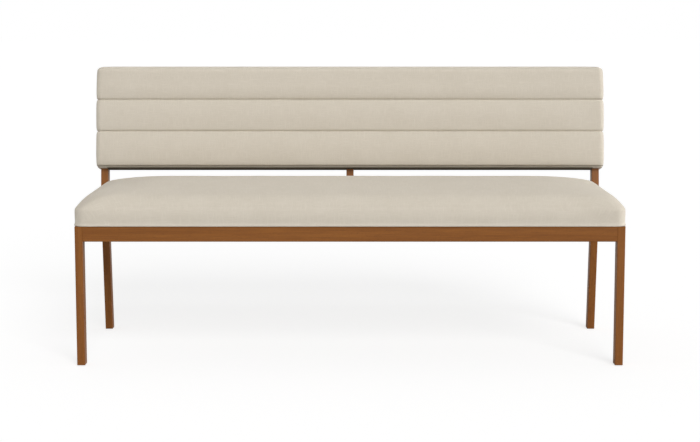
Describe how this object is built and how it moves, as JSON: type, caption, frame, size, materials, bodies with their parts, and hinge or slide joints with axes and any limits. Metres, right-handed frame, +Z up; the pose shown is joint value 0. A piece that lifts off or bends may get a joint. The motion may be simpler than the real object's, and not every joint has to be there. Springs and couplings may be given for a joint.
{
  "type": "upholstered dining bench",
  "caption": "Free-standing upholstered bench with a crowned seat, a channelled back and a slim brown wooden frame.",
  "frame": {"origin": "centre of the bench's overall plan, on the floor", "axes": "+X along the bench to the sitter's left, as seen from the front to the right; +Y from the front to the rear; +Z up"},
  "size_m": [1.5436, 0.595, 0.8152],
  "materials": {
    "stained_wood": "brown stained hardwood with a satin lacquer",
    "plain_wood": "planed softwood, unfinished",
    "plywood": "birch plywood, sanded",
    "screw_steel": "zinc-plated steel",
    "nylon": "brown moulded nylon",
    "foam": "open-cell polyurethane foam",
    "wadding": "bonded polyester fibre wadding",
    "upholstery_fabric": "beige plain-woven upholstery cloth",
    "dust_cloth": "dark non-woven dust cloth"
  },
  "bodies": {
    "root": {"front_leg_left": "stained_wood", "front_leg_right": "stained_wood", "rear_leg_left": "stained_wood", "rear_leg_right": "stained_wood", "centre_post": "stained_wood", "front_rail": "stained_wood", "rear_rail": "stained_wood", "side_rail_left": "stained_wood", "side_rail_right": "stained_wood", "rear_bearer": "plain_wood", "cross_rail_left": "plain_wood", "cross_rail_centre": "plain_wood", "cross_rail_right": "plain_wood", "corner_block_front_left": "plain_wood", "corner_block_front_right": "plain_wood", "corner_block_rear_left": "plain_wood", "corner_block_rear_right": "plain_wood", "corner_block_screws": "screw_steel", "bearer_screws": "screw_steel", "seat_screws": "screw_steel", "glide_front_left": "nylon", "glide_front_right": "nylon", "glide_rear_left": "nylon", "glide_rear_right": "nylon", "seat_deck": "plywood", "seat_foam": "foam", "seat_wadding": "wadding", "seat_cover": "upholstery_fabric", "seat_dust_cover": "dust_cloth", "back_bottom_rail": "plain_wood", "back_top_rail": "plain_wood", "back_stile_left": "plain_wood", "back_stile_centre": "plain_wood", "back_stile_right": "plain_wood", "back_panel": "plywood", "back_panel_screws": "screw_steel", "back_board": "plywood", "back_foam_low": "foam", "back_foam_middle": "foam", "back_foam_top": "foam", "back_wadding": "wadding", "back_cover": "upholstery_fabric", "back_rear_cover": "upholstery_fabric", "back_dust_cover": "dust_cloth"}
  },
  "joints": []
}
